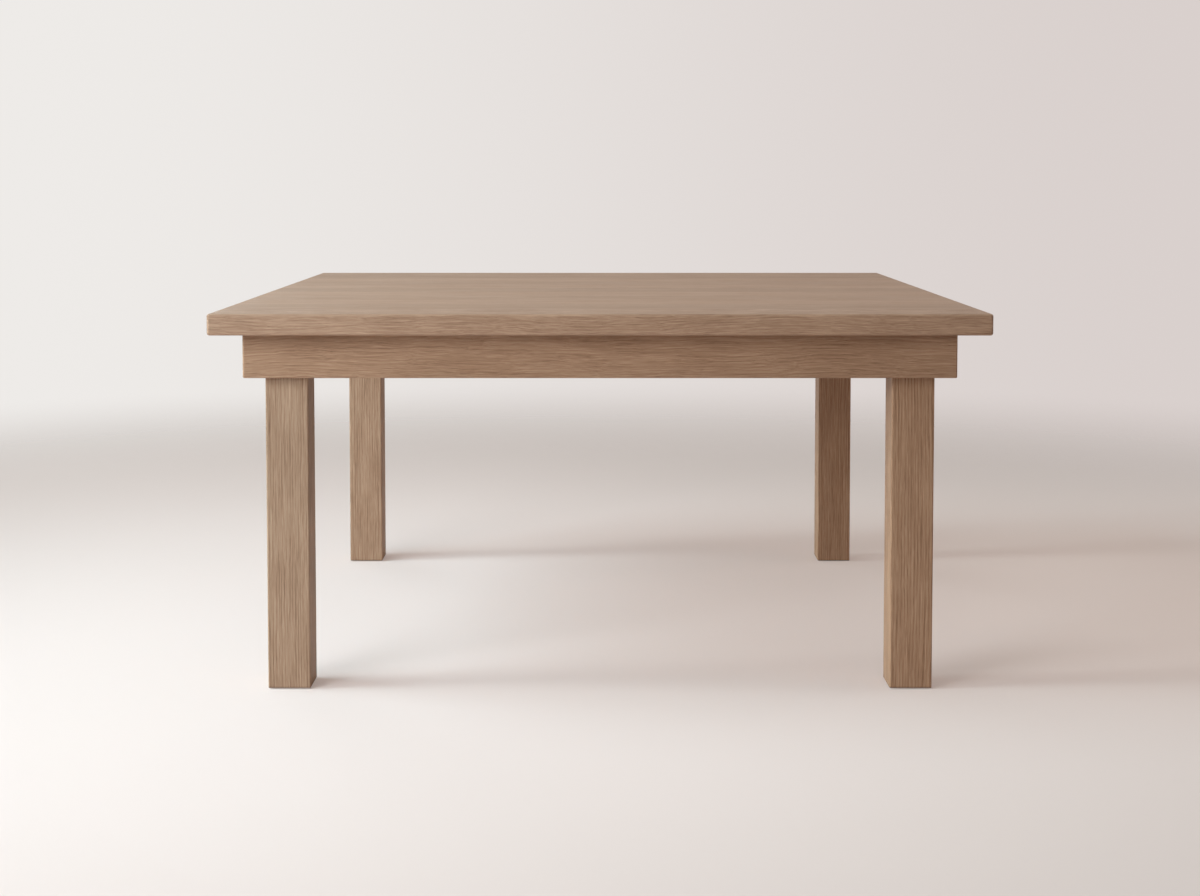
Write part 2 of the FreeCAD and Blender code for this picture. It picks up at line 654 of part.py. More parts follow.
def make_top_clips():
    """Z-shaped clips: a tongue in the slot, an upright and a flange under the top towards +Y."""
    clip = new_body("top_clip_pattern")
    near = "sizes.clip_stand_off"
    far = f"{near} + sizes.clip_thickness"
    tip = f"{near} + sizes.clip_flange"
    tongue_low = "-sizes.kerf_drop - sizes.clip_thickness"
    corners = (
        ("-sizes.clip_tongue", tongue_low),
        (far, tongue_low),
        (far, "-sizes.clip_thickness"),
        (tip, "-sizes.clip_thickness"),
        (tip, "0"),
        (near, "0"),
        (near, "-sizes.kerf_drop"),
        ("-sizes.clip_tongue", "-sizes.kerf_drop"),
    )
    sheet_metal = pad(clip, "sheet_metal", corners, "sizes.clip_width", "YZ_Plane", symmetric=True)
    lower_bend = (value(far), value(tongue_low))
    upper_bend = (value(near), 0)

    def outside_of_bend(box):
        along_the_bend = box.YLength < NEAR and box.ZLength < NEAR
        hits = [abs(box.YMin - y) < NEAR and abs(box.ZMin - z) < NEAR for y, z in (lower_bend, upper_bend)]
        return along_the_bend and any(hits)

    dress(clip, "Fillet", "bends", sheet_metal, outside_of_bend, "sizes.clip_bend_radius")
    hole = "sizes.screw_diameter / 2 + sizes.screw_hole_clearance"
    bore(clip, "screw_hole", ("0", SCREW_REACH, "-sizes.clip_thickness"), hole, "sizes.clip_thickness")
    places = [spot(x, y, UNDERSIDE, quarter(turns)) for x, y, turns in clip_places()]
    return group("top_clips", clip, places)


def make_clip_screws():
    """Screws from below: head against the clip's flange, pointed end up in the board."""
    screw = new_body("clip_screw_pattern")
    head_base = "-sizes.screw_head_height"
    straight = "sizes.screw_length - sizes.screw_tip"
    rod(screw, "head", ("0", "0", head_base), "sizes.screw_head_diameter / 2", "sizes.screw_head_height")
    rod(screw, "shank", ("0", "0", "0"), "sizes.screw_diameter / 2", straight)
    tip = primitive(screw, "AdditiveCone", "tip", ("0", "0", straight))
    bind(tip, Radius1="sizes.screw_diameter / 2", Height="sizes.screw_tip")
    tip.Radius2 = 0
    middle = "-sizes.screw_drive_width / 2"
    width = "sizes.screw_drive_width"
    slot(screw, "drive", (middle, middle, head_base), width, width, "sizes.screw_drive_depth")
    places = [spot(x, y, f"{UNDERSIDE} - sizes.clip_thickness") for x, y in screw_places()]
    return group("top_clip_screws", screw, places)


# Levelling glides in the feet of the legs

def make_glide_inserts(glide_places):
    """Threaded inserts in the feet: a flange on the floor of the recess and a barrel above it."""
    insert = new_body("glide_insert_pattern")
    thread = "sizes.stem_diameter / 2 + sizes.thread_gap"
    rod(insert, "flange", ("0", "0", FLANGE_BASE), "sizes.flange_diameter / 2", "sizes.flange_thickness")
    rod(insert, "barrel", ("0", "0", RECESS_TOP), "sizes.socket_diameter / 2", "sizes.socket_length")
    bore(insert, "thread", ("0", "0", FLANGE_BASE), thread, "sizes.flange_thickness + sizes.socket_length")
    return group("glide_inserts", insert, [spot(x, y, "0") for name, x, y in glide_places])


def make_glide_stem(name, x, y):
    """Threaded stem: hexagon collar on the base, thread above it, riveted spigot through the base."""
    body = new_body(f"glide_stem_{name}")
    collar = primitive(body, "AdditivePrism", "collar", ("0", "0", "0"))
    collar.Polygon = HEXAGON_SIDES
    bind(collar, Circumradius="sizes.collar_width / sqrt(3)", Height="sizes.collar_height")
    radius = "sizes.stem_diameter / 2"
    rod(body, "threaded_end", ("0", "0", "sizes.collar_height"), radius, STEM_LENGTH)
    spigot_base = "-sizes.glide_thickness + sizes.rivet_room"
    rod(body, "spigot", ("0", "0", spigot_base), radius, "sizes.glide_thickness - sizes.rivet_room")
    rod(body, "rivet", ("0", "0", spigot_base), f"{radius} + sizes.rivet_lip", "sizes.rivet_height")
    place(body, x, y, COLLAR_BASE)
    return keep(body)


def make_glide_base(name, x, y):
    """Nylon disc that the stem turns in, hollowed from below for the riveted end."""
    body = new_body(f"glide_base_{name}")
    disc = rod(body, "disc", ("0", "0", "0"), "sizes.glide_diameter / 2", "sizes.glide_thickness")
    doc.recompute()
    top = value("sizes.glide_thickness")

    def upper_edge(box):
        return box.ZMin > top - NEAR

    dress(body, "Fillet", "rounded_edge", disc, upper_edge, "sizes.glide_edge_radius")
    spigot = "sizes.stem_diameter / 2 + sizes.spigot_gap"
    bore(body, "spigot_hole", ("0", "0", "0"), spigot, "sizes.glide_thickness")
    wide = "sizes.stem_diameter / 2 + sizes.rivet_lip + sizes.rivet_room"
    bore(body, "rivet_hollow", ("0", "0", "0"), wide, "sizes.rivet_height + 2 * sizes.rivet_room")
    place(body, x, y, "sizes.felt_thickness")
    return keep(body)


def make_glide_felt(name, x, y):
    """Felt disc under the base."""
    felt = doc.addObject("Part::Cylinder", f"glide_felt_{name}")
    felt.Label = f"glide_felt_{name}"
    bind(felt, Radius="sizes.glide_diameter / 2 - sizes.felt_margin", Height="sizes.felt_thickness")
    place(felt, x, y, "0")
    return keep(felt)


def make_glides():
    """A glide under the middle of each leg."""
    inset = f"(sizes.apron_thickness + {LEG_MIDDLE})"
    places = []
    for name, sign_x, sign_y in CORNERS:
        places.append((name, f"{sign_x}({FRAME_X} / 2 - {inset})", f"{sign_y}({FRAME_Y} / 2 - {inset})"))
    make_glide_inserts(places)
    for glide_place in places:
        make_glide_stem(*glide_place)
        make_glide_base(*glide_place)
        make_glide_felt(*glide_place)


# Checks and export

def check_cuts():
    """Every cut must take something away."""
    for feature in doc.Objects:
        if feature.TypeId.startswith("PartDesign::Subtractive"):
            before = feature.BaseFeature.Shape.Volume
            if feature.Shape.Volume > before - NEAR:
                raise RuntimeError(f"{feature.Label} in {feature.getParent().Label} cuts nothing")


def check_pieces():
    """Every object must be sound, and every piece a set of valid solids."""
    for thing in doc.Objects:
        if "Invalid" in thing.State or "Error" in thing.State:
            raise RuntimeError(f"{thing.Label} has an error")
    for piece in pieces:
        if piece.Shape.isNull() or not piece.Shape.isValid() or not piece.Shape.Solids:
            raise RuntimeError(f"{piece.Label} has no valid shape")
        if piece.TypeId != "Part::Feature" and len(piece.Shape.Solids) != 1:
            raise RuntimeError(f"{piece.Label} is not one solid")


def export_pieces():
    """One STEP file for each piece, under its own name."""
    os.makedirs("parts", exist_ok=True)
    for piece in pieces:
        piece.Shape.exportStep(f"parts/{piece.Label}.step")


last_board = int(value("sizes.board_count")) - 1
for board_number in range(last_board + 1):
    make_board(board_number, last_board)
make_top_splines(last_board)
for apron_number in range(len(APRONS)):
    make_apron(apron_number)
make_mitre_keys()
all_legs = [make_leg(corner) for corner in range(len(CORNERS))]
doc.recompute()
make_leg_bolts(all_legs)
make_leg_washers(all_legs)
make_apron_inserts(all_legs)
for bearer_number, bearer_x in enumerate(bearer_places(), start=1):
    make_bearer(f"bearer_{bearer_number}", bearer_x)
make_top_clips()
make_clip_screws()
make_glides()
doc.recompute()
check_cuts()
check_pieces()
export_pieces()
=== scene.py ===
import math

import bmesh
import bpy
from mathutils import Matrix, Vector


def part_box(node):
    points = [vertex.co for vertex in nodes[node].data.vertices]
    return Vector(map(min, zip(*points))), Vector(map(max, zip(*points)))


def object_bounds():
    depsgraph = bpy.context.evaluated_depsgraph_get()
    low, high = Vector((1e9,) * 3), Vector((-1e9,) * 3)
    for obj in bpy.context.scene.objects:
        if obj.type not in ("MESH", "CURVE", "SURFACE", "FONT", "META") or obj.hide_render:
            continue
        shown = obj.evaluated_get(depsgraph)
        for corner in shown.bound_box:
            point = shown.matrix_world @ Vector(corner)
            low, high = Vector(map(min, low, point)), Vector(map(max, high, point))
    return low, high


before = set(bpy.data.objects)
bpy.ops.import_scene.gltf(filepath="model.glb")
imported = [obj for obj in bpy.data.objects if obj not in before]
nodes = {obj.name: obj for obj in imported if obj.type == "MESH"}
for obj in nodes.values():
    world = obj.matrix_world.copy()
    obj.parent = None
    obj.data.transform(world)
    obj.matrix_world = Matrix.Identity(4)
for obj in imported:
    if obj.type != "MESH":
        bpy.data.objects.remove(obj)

cad_low, cad_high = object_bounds()

CORNERS = ("front_left", "front_right", "back_right", "back_left")
NO_TINT = (1.0, 1.0, 1.0)


# Short calls for node trees

# Places of the colour sockets on a mix node, whose number sockets have the same names
FIRST_COLOUR = 6
SECOND_COLOUR = 7
MIXED_COLOUR = 2
# How far one step of shift moves a noise pattern along each axis
SHIFT_STEP = (1.0, 0.7, 1.3)


def set_input(tree, socket, value):
    """Link another node's output to a socket, or give the socket its own value."""
    if isinstance(value, bpy.types.NodeSocket):
        tree.links.new(value, socket)
    else:
        socket.default_value = value


def calculate(tree, operation, *values):
    """One arithmetic step on numbers or outputs."""
    step = tree.nodes.new("ShaderNodeMath")
    step.operation = operation
    for socket, value in zip(step.inputs, values):
        set_input(tree, socket, value)
    return step.outputs[0]


def combine(tree, operation, *vectors, output="Vector"):
    """One step on vectors: the vector or the single number that comes of it."""
    step = tree.nodes.new("ShaderNodeVectorMath")
    step.operation = operation
    for socket, vector in zip(step.inputs, vectors):
        set_input(tree, socket, vector)
    return step.outputs[output]


def spread(tree, value, low, high, to_low=0.0, to_high=1.0):
    """Map low..high onto to_low..to_high with soft ends, held outside that range."""
    step = tree.nodes.new("ShaderNodeMapRange")
    step.interpolation_type = "SMOOTHSTEP"
    for name, setting in (("Value", value), ("From Min", low), ("From Max", high),
                          ("To Min", to_low), ("To Max", to_high)):
        set_input(tree, step.inputs[name], setting)
    return step.outputs["Result"]


def weigh(tree, layers, weights):
    """The sum of named layers, each times its weight."""
    total = 0.0
    for name, weight in weights.items():
        total = calculate(tree, "MULTIPLY_ADD", layers[name], weight, total)
    return total


def mix_colours(tree, share, first, second, blend="MIX"):
    """Blend two colours by a share from 0 to 1."""
    step = tree.nodes.new("ShaderNodeMix")
    step.data_type = "RGBA"
    step.blend_type = blend
    set_input(tree, step.inputs["Factor"], share)
    set_input(tree, step.inputs[FIRST_COLOUR], first)
    set_input(tree, step.inputs[SECOND_COLOUR], second)
    return step.outputs[MIXED_COLOUR]


def mix_shaders(tree, share, first, second):
    """Blend two shaders by a share from 0 to 1."""
    step = tree.nodes.new("ShaderNodeMixShader")
    for socket, value in zip(step.inputs, (share, first, second)):
        tree.links.new(value, socket)
    return step.outputs[0]


def shade_colours(tree, value, stops):
    """A run of colours over 0..1, each stop (place, colour)."""
    ramp = tree.nodes.new("ShaderNodeValToRGB")
    ramp.color_ramp.interpolation = "B_SPLINE"
    elements = ramp.color_ramp.elements
    while len(elements) < len(stops):
        elements.new(position=0.5)
    for element, (place, shade) in zip(elements, stops):
        element.position = place
        element.color = shade
    tree.links.new(value, ramp.inputs["Fac"])
    return ramp.outputs["Color"]


def cloud(tree, coordinates, scale, shift=0.0, detail=2.0, roughness=0.5, output="Fac"):
    """Soft noise about 0.5, one number or three, with a scale for each axis in repeats a metre."""
    stretch = tree.nodes.new("ShaderNodeMapping")
    stretch.inputs["Scale"].default_value = scale
    stretch.inputs["Location"].default_value = [shift * step for step in SHIFT_STEP]
    tree.links.new(coordinates, stretch.inputs["Vector"])
    noise = tree.nodes.new("ShaderNodeTexNoise")
    noise.inputs["Scale"].default_value = 1.0
    noise.inputs["Detail"].default_value = detail
    noise.inputs["Roughness"].default_value = roughness
    tree.links.new(stretch.outputs["Vector"], noise.inputs["Vector"])
    return noise.outputs[output]


def even_cloud(tree, coordinates, repeats, **settings):
    """Soft noise with the same scale on every axis."""
    return cloud(tree, coordinates, (repeats, repeats, repeats), **settings)


def colour(red, green, blue, tint=NO_TINT):
    """The linear colour that shaders use, from the usual 0 to 255 steps of a screen, times a tint."""
    def linear(step, factor):
        share = step / 255
        plain = share / 12.92 if share <= 0.04045 else ((share + 0.055) / 1.055) ** 2.4
        return min(1.0, plain * factor)
    return (*(linear(step, factor) for step, factor in zip((red, green, blue), tint)), 1.0)


def new_material(name):
    """A material to fill in: itself, its node tree, its surface shader and its place coordinates."""
    material = bpy.data.materials.new(name)
    material.use_nodes = True
    tree = material.node_tree
    surface = tree.nodes["Principled BSDF"]
    place = tree.nodes.new("ShaderNodeTexCoord")
    return material, tree, surface, place


def raise_surface(tree, surface, height, distance, strength):
    """Tilt the shading by a height pattern."""
    bump = tree.nodes.new("ShaderNodeBump")
    bump.inputs["Distance"].default_value = distance
    bump.inputs["Strength"].default_value = strength
    tree.links.new(height, bump.inputs["Height"])
    tree.links.new(bump.outputs["Normal"], surface.inputs["Normal"])


# Wood tones, from the palest to the darkest lines

OAK_TONES = (
    (0.10, (193, 157, 129)),
    (0.40, (165, 129, 103)),
    (0.66, (142, 106, 82)),
    (0.95, (104, 72, 53)),
)
BARE_OAK_TONES = (
    (0.10, (214, 188, 153)),
    (0.40, (190, 160, 125)),
    (0.66, (168, 137, 103)),
    (0.95, (128, 97, 68)),
)
BEECH_TONES = (
    (0.10, (226, 200, 172)),
    (0.40, (212, 182, 150)),
    (0.66, (198, 165, 132)),
    (0.95, (170, 134, 102)),
)
PORE_BROWN = (86, 60, 43)


# Wood grain

NOISE_MIDDLE = (0.5, 0.5, 0.5)
# Each wave of the grain: repeats a metre along and across the fibres, and how far it pushes the lines
GRAIN_WAVES = (
    (2.2, 6.0, 0.036),
    (14.0, 34.0, 0.0055),
)
# Each layer of noise: repeats a metre along and across the fibres, shift, detail and roughness
GRAIN_LAYERS = {
    "ring_wobble": (1.5, 60.0, 11.0, 2.0, 0.5),
    "ring_fading": (9.0, 90.0, 23.0, 2.0, 0.5),
    "streaks": (11.0, 420.0, 37.0, 3.0, 0.6),
    "fibres": (38.0, 1000.0, 51.0, 2.0, 0.5),
    "blotches": (8.0, 18.0, 67.0, 1.0, 0.5),
    "veins": (7.0, 260.0, 83.0, 3.0, 0.5),
    "gleams": (9.0, 380.0, 89.0, 2.0, 0.5),
    "dashes": (60.0, 1400.0, 97.0, 1.0, 0.5),
    "edge_wear_and_highlight_patches": (9.0, 60.0, 113.0, 3.0, 0.5),
}
# Where a layer's noise is cut off below and above, and what it becomes there
LAYER_CUTS = {
    "ring_fading": (0.36, 0.60, 0.0, 1.0),
    "veins": (0.56, 0.72, 0.0, 1.0),
    "gleams": (0.54, 0.74, 0.0, 1.0),
    "dashes": (0.58, 0.70, 0.0, 1.0),
    "edge_wear_and_highlight_patches": (0.35, 0.65, 0.25, 1.0),
}
RING_WIDTH = 0.0046
RING_WOBBLE = 0.006
# Shares of a ring's width over which its open, early wood begins and ends
EARLY_WOOD_START = (0.0, 0.10)
EARLY_WOOD_END = (0.16, 0.60)
# How much of the pores shows everywhere, and how much more in early wood
PORES_EVERYWHERE = 0.3
PORES_IN_EARLY_WOOD = 0.7
# How far a face must turn across the fibres to show end grain
END_GRAIN_TURN = (0.55, 0.9)
# How far in from a box's edges the wear and the painted highlight on the rounding reach
EDGE_WEAR_AND_HIGHLIGHT_REACH = 0.007
# How far up a leg the painted shade at its foot reaches
FOOT_SHADE_REACH = 0.005
HANDLED_REPEATS = 7.0
HANDLED_SHIFT = 131.0


def along_fibre(fibre, along, across):
    """A scale for each axis: one along the fibres and another across them."""
    return tuple(along if axis == fibre else across for axis in "XYZ")


def grain_flow(tree, point, fibre, seed, waviness):
    """The point pushed across the fibres, so that all lines of the grain follow the same waves."""
    flow = point
    for along, across, reach in GRAIN_WAVES:
        wave = cloud(tree, point, along_fibre(fibre, along, across), seed, detail=1.0, output="Color")
        swing = combine(tree, "SUBTRACT", wave, NOISE_MIDDLE)
        flow = combine(tree, "MULTIPLY_ADD", swing, along_fibre(fibre, 0.0, reach * waviness), flow)
    return flow


def grain_layers(tree, flow, fibre, seed, length):
    """The layers of noise by name, drawn out along the fibres."""
    layers = {}
    for name, (along, across, shift, detail, roughness) in GRAIN_LAYERS.items():
        scale = along_fibre(fibre, along / length, across)
        layers[name] = cloud(tree, flow, scale, seed + shift, detail, roughness)
    for name, cuts in LAYER_CUTS.items():
        layers[name] = spread(tree, layers[name], *cuts)
    return layers


def early_wood(tree, flow, fibre, heart, layers):
    """1 in the open, early wood of the rings about the heart line, fading here and there, else 0."""
    from_heart = combine(tree, "SUBTRACT", flow, heart)
    across_only = combine(tree, "MULTIPLY", from_heart, along_fibre(fibre, 0.0, 1.0))
    distance = combine(tree, "LENGTH", across_only, output="Value")
    wobbling = calculate(tree, "MULTIPLY_ADD", layers["ring_wobble"], RING_WOBBLE, distance)
    ring = calculate(tree, "FRACT", calculate(tree, "DIVIDE", wobbling, RING_WIDTH))
    begun = spread(tree, ring, *EARLY_WOOD_START)
    not_ended = spread(tree, ring, *EARLY_WOOD_END, 1.0, 0.0)
    return calculate(tree, "MULTIPLY", calculate(tree, "MULTIPLY", begun, not_ended), layers["ring_fading"])


def open_pores(tree, layers):
    """1 in the short dark dashes that are open pores."""
    share = calculate(tree, "MULTIPLY_ADD", layers["early_wood"], PORES_IN_EARLY_WOOD, PORES_EVERYWHERE)
    return calculate(tree, "MULTIPLY", layers["dashes"], share)


def end_grain_share(tree, normal, fibre):
    """1 on faces cut across the fibres and 0 on faces along them."""
    facing = combine(tree, "DOT_PRODUCT", normal, along_fibre(fibre, 1.0, 0.0), output="Value")
    return spread(tree, calculate(tree, "ABSOLUTE", facing), *END_GRAIN_TURN)


def edge_share(tree, point, low, high):
    """1 on the edges of a box and 0 further in, for places on the box's faces."""
    middle = (low + high) / 2
    half = (high - low) / 2
    from_middle = combine(tree, "ABSOLUTE", combine(tree, "SUBTRACT", point, middle))
    beyond = combine(tree, "SUBTRACT", from_middle, half)
    split = tree.nodes.new("ShaderNodeSeparateXYZ")
    tree.links.new(beyond, split.inputs[0])
    x, y, z = split.outputs
    x_and_y = calculate(tree, "MINIMUM", x, y)
    y_and_z = calculate(tree, "MINIMUM", y, z)
    z_and_x = calculate(tree, "MINIMUM", z, x)
    nearest = calculate(tree, "MAXIMUM", calculate(tree, "MAXIMUM", x_and_y, y_and_z), z_and_x)
    return spread(tree, nearest, -EDGE_WEAR_AND_HIGHLIGHT_REACH, 0.0)


def foot_painted_shade(tree, point, low):
    """1 at the very foot of a leg and 0 a few millimetres up: a painted shade that darkens the wood where
    the leg meets the floor.
    """
    split = tree.nodes.new("ShaderNodeSeparateXYZ")
    tree.links.new(point, split.inputs[0])
    return spread(tree, split.outputs["Z"], low.z, low.z + FOOT_SHADE_REACH, 1.0, 0.0)


# Wood finish

MIDDLE_DARKNESS = 0.47
# How far each layer darkens, dulls and raises the wood
DARKENING = {
    "streaks": 0.62,
    "fibres": 0.60,
    "blotches": 0.24,
    "veins": 0.05,
    "gleams": -0.12,
    "everywhere": -0.72,
}
DULLING = {
    "darkness": 0.16,
    "pores": 0.12,
    "end_grain": 0.12,
    "rubbed": -0.04,
    "handled": 0.10,
    "everywhere": 0.44,
}
RAISING = {
    "early_wood": -0.30,
    "streaks": -0.50,
    "fibres": -0.25,
    "pores": -0.90,
}
GRAIN_DEPTH = 0.0004
GRAIN_RELIEF = 0.45
PORE_SHARE = 0.45
END_GRAIN_SHADE = (0.62, 0.62, 0.62, 1.0)
# How much paler the edges get: partly wear, partly a painted highlight on their rounding
EDGE_WEAR_AND_HIGHLIGHT_SHARE = 0.06
# How much dark brown the painted shade at a leg's foot mixes in
FOOT_SHADE_SHARE = 0.45


def wood_colour(tree, layers, tones, tint):
    """The grain's tones with brown pores, darker end grain, paler edges from wear and a painted highlight,
    and a painted shade at the foot.
    """
    stops = [(place, colour(*tone, tint)) for place, tone in tones]
    palest = stops[0][1]
    brown = colour(*PORE_BROWN, tint)
    base = shade_colours(tree, layers["darkness"], stops)
    base = mix_colours(tree, calculate(tree, "MULTIPLY", layers["pores"], PORE_SHARE), base, brown)
    across = mix_colours(tree, 1.0, base, END_GRAIN_SHADE, "MULTIPLY")
    base = mix_colours(tree, layers["end_grain"], base, across)
    # Paler edges: wear, and a painted highlight on the rounding
    base = mix_colours(tree, calculate(tree, "MULTIPLY", layers["rubbed"], EDGE_WEAR_AND_HIGHLIGHT_SHARE), base, palest)
    # Painted shade: a dark brown line at the very foot of a leg
    if "scuffed" in layers:
        base = mix_colours(tree, calculate(tree, "MULTIPLY", layers["scuffed"], FOOT_SHADE_SHARE), base, brown)
    return base


def wood(name, tones, fibre, heart, seed, low, high, tint=NO_TINT,
         waviness=1.0, length=1.0, rings=0.14, contrast=1.0, polish=0.25, on_floor=False):
    """Wood cut from a trunk: rings about the heart line, streaks, pores and worn edges, which also carry a
    painted highlight.

    The fibres run along one axis, and heart is a point on the trunk's middle line.
    low and high are the corners of the box whose edges hands and cloths rub, and whose edges get a painted
    highlight.
    length draws the lines out along the fibres, and rings and contrast make them darker.
    """
    material, tree, surface, place = new_material(name)
    point = place.outputs["Object"]
    flow = grain_flow(tree, point, fibre, seed, waviness)
    layers = grain_layers(tree, flow, fibre, seed, length)
    layers["everywhere"] = 1.0
    layers["early_wood"] = early_wood(tree, flow, fibre, heart, layers)
    layers["pores"] = open_pores(tree, layers)
    layers["end_grain"] = end_grain_share(tree, place.outputs["Normal"], fibre)
    # The edges' mask in patches: smoother where worn, and paler in colour as wear and a painted highlight
    layers["rubbed"] = calculate(tree, "MULTIPLY", edge_share(tree, point, low, high), layers["edge_wear_and_highlight_patches"])
    layers["handled"] = even_cloud(tree, point, HANDLED_REPEATS, shift=seed + HANDLED_SHIFT, detail=3.0)
    # A leg on the floor gets a painted shade along its foot
    if on_floor:
        layers["scuffed"] = foot_painted_shade(tree, point, low)
    lines = weigh(tree, layers, {"early_wood": rings, **DARKENING})
    layers["darkness"] = calculate(tree, "MULTIPLY_ADD", lines, contrast, MIDDLE_DARKNESS)

    tree.links.new(wood_colour(tree, layers, tones, tint), surface.inputs["Base Color"])
    tree.links.new(weigh(tree, layers, DULLING), surface.inputs["Roughness"])
    surface.inputs["Specular IOR Level"].default_value = polish
    raise_surface(tree, surface, weigh(tree, layers, RAISING), GRAIN_DEPTH, GRAIN_RELIEF)
    return material


# Metal

METAL_DULLING = {"patches": 0.14, "lines": 0.12, "grains": 0.08}
METAL_RAISING = {"lines": 0.7, "grains": 0.3}
# What patches, lines and grains add to the roughness on the whole
METAL_ADDED_ROUGHNESS = 0.12


def metal(name, tint, dulled_tint, roughness, seed):
    """Plated or turned metal: faint tool lines, dull patches and small grains."""
    material, tree, surface, place = new_material(name)
    point = place.outputs["Object"]
    dullness = even_cloud(tree, point, repeats=90.0, shift=seed, detail=4.0, roughness=0.6)
    layers = {
        "everywhere": 1.0,
        "patches": spread(tree, dullness, low=0.40, high=0.68),
        "lines": cloud(tree, point, scale=(300.0, 300.0, 5200.0), shift=seed + 5.0),
        "grains": even_cloud(tree, point, repeats=2600.0, shift=seed + 9.0),
    }
    tree.links.new(mix_colours(tree, layers["patches"], colour(*tint), colour(*dulled_tint)),
                   surface.inputs["Base Color"])
    surface.inputs["Metallic"].default_value = 1.0
    dulling = {**METAL_DULLING, "everywhere": roughness - METAL_ADDED_ROUGHNESS}
    tree.links.new(weigh(tree, layers, dulling), surface.inputs["Roughness"])
    raise_surface(tree, surface, weigh(tree, layers, METAL_RAISING), distance=0.00006, strength=0.4)
    return material


# Plastic

NYLON_BROWN = (48, 40, 35)
NYLON_RUBBED = (70, 60, 53)
NYLON_DULLING = {"grain": 0.15, "rubbed": -0.10, "everywhere": 0.44}


def moulded_nylon(name):
    """Dark brown moulded plastic with a fine spark-eroded grain and rubbed patches."""
    material, tree, surface, place = new_material(name)
    point = place.outputs["Object"]
    patches = even_cloud(tree, point, repeats=120.0, shift=8.0, detail=3.0)
    layers = {
        "everywhere": 1.0,
        "grain": even_cloud(tree, point, repeats=2400.0, shift=3.0),
        "rubbed": spread(tree, patches, low=0.45, high=0.70),
    }
    tree.links.new(mix_colours(tree, layers["rubbed"], colour(*NYLON_BROWN), colour(*NYLON_RUBBED)),
                   surface.inputs["Base Color"])
    tree.links.new(weigh(tree, layers, NYLON_DULLING), surface.inputs["Roughness"])
    raise_surface(tree, surface, layers["grain"], distance=0.00005, strength=0.5)
    return material


# Felt

FELT_DARK = (72, 59, 50)
FELT_PALE = (104, 88, 76)
FELT_HAIR = (146, 128, 112)
FELT_MATTING = {"lengthwise": 0.5, "crosswise": 0.5}
FELT_DULLING = {"mat": 0.1, "everywhere": 0.86}
FELT_SHEEN = 0.25


def pressed_felt(name):
    """Brown wool felt: matted fibres in two directions, pale stray hairs and a soft sheen."""
    material, tree, surface, place = new_material(name)
    point = place.outputs["Object"]
    layers = {
        "everywhere": 1.0,
        "lengthwise": cloud(tree, point, (600.0, 3200.0, 3200.0), shift=2.0, detail=3.0, roughness=0.65),
        "crosswise": cloud(tree, point, (3200.0, 600.0, 3200.0), shift=6.0, detail=3.0, roughness=0.65),
    }
    layers["mat"] = weigh(tree, layers, FELT_MATTING)
    upper = calculate(tree, "MAXIMUM", layers["lengthwise"], layers["crosswise"])
    stray = spread(tree, upper, low=0.66, high=0.78)
    depth = spread(tree, layers["mat"], low=0.3, high=0.7)
    base = mix_colours(tree, depth, colour(*FELT_DARK), colour(*FELT_PALE))
    tree.links.new(mix_colours(tree, stray, base, colour(*FELT_HAIR)), surface.inputs["Base Color"])
    tree.links.new(weigh(tree, layers, FELT_DULLING), surface.inputs["Roughness"])
    surface.inputs["Sheen Weight"].default_value = FELT_SHEEN
    raise_surface(tree, surface, layers["mat"], distance=0.0003, strength=0.8)
    return material


# Which material each piece wears

def dress(node, material):
    """Give a solid its finish."""
    nodes[node].material_slots[0].material = material


# Boards of the top

BOARD_BRIGHTNESS = (1.00, 0.95, 1.04, 0.98, 1.03, 0.94, 1.02, 0.97, 1.05, 0.95, 1.01)
BOARD_COUNT = len(BOARD_BRIGHTNESS)
BOARD_TINT = (1.02, 1.03, 1.06)
BOARD_SEED_STEP = 5.0
EDGE_BOARD_CUT = {"waviness": 1.0, "length": 1.0, "rings": 0.11, "contrast": 1.0, "polish": 0.5}
INNER_BOARD_CUT = {"waviness": 0.6, "length": 2.6, "rings": 0.14, "contrast": 0.62, "polish": 0.5}
# Where a board's heart line lies: sideways from its middle and below it, in turns that don't repeat
GOLDEN_STEP = 0.618
HEART_SWING = 0.30
HEART_DEPTH = 0.05
HEART_DEPTH_RANGE = 0.10


def dress_boards():
    """Oak along the table, each board from another trunk and a little paler or darker than the next."""
    for number, brightness in enumerate(BOARD_BRIGHTNESS, start=1):
        board = f"top_board_{number:02d}"
        low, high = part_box(board)
        turn = (number * GOLDEN_STEP) % 1.0
        heart_y = (low.y + high.y) / 2 + HEART_SWING * (turn - 0.5)
        heart_z = low.z - HEART_DEPTH - HEART_DEPTH_RANGE * turn
        cut = EDGE_BOARD_CUT if number in (1, BOARD_COUNT) else INNER_BOARD_CUT
        heart = Vector((0.0, heart_y, heart_z))
        top_low = cad_low + Vector((0.0, 0.0, low.z))
        tint = [brightness * share for share in BOARD_TINT]
        seed = BOARD_SEED_STEP * number
        dress(board, wood(f"oak_{board}", OAK_TONES, "X", heart, seed, top_low, cad_high, tint, **cut))


# Aprons

APRON_FIBRES = {"front": "X", "right": "Y", "back": "X", "left": "Y"}
APRON_HEART = Vector((0.16, 0.16, 0.14))
APRON_TINT = (0.97, 0.96, 0.96)
APRON_CUT = {"length": 1.4, "rings": 0.08}
APRON_FIRST_SEED = 83.0
APRON_SEED_STEP = 7.0


def dress_aprons():
    """Oak along each apron."""
    for number, (side, fibre) in enumerate(APRON_FIBRES.items()):
        apron = f"apron_{side}"
        low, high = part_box(apron)
        heart = (low + high) / 2 + APRON_HEART
        seed = APRON_FIRST_SEED + APRON_SEED_STEP * number
        dress(apron, wood(f"oak_{apron}", OAK_TONES, fibre, heart, seed, low, high, APRON_TINT, **APRON_CUT))


# Legs

LEG_HEART = Vector((0.21, 0.19, 0.0))
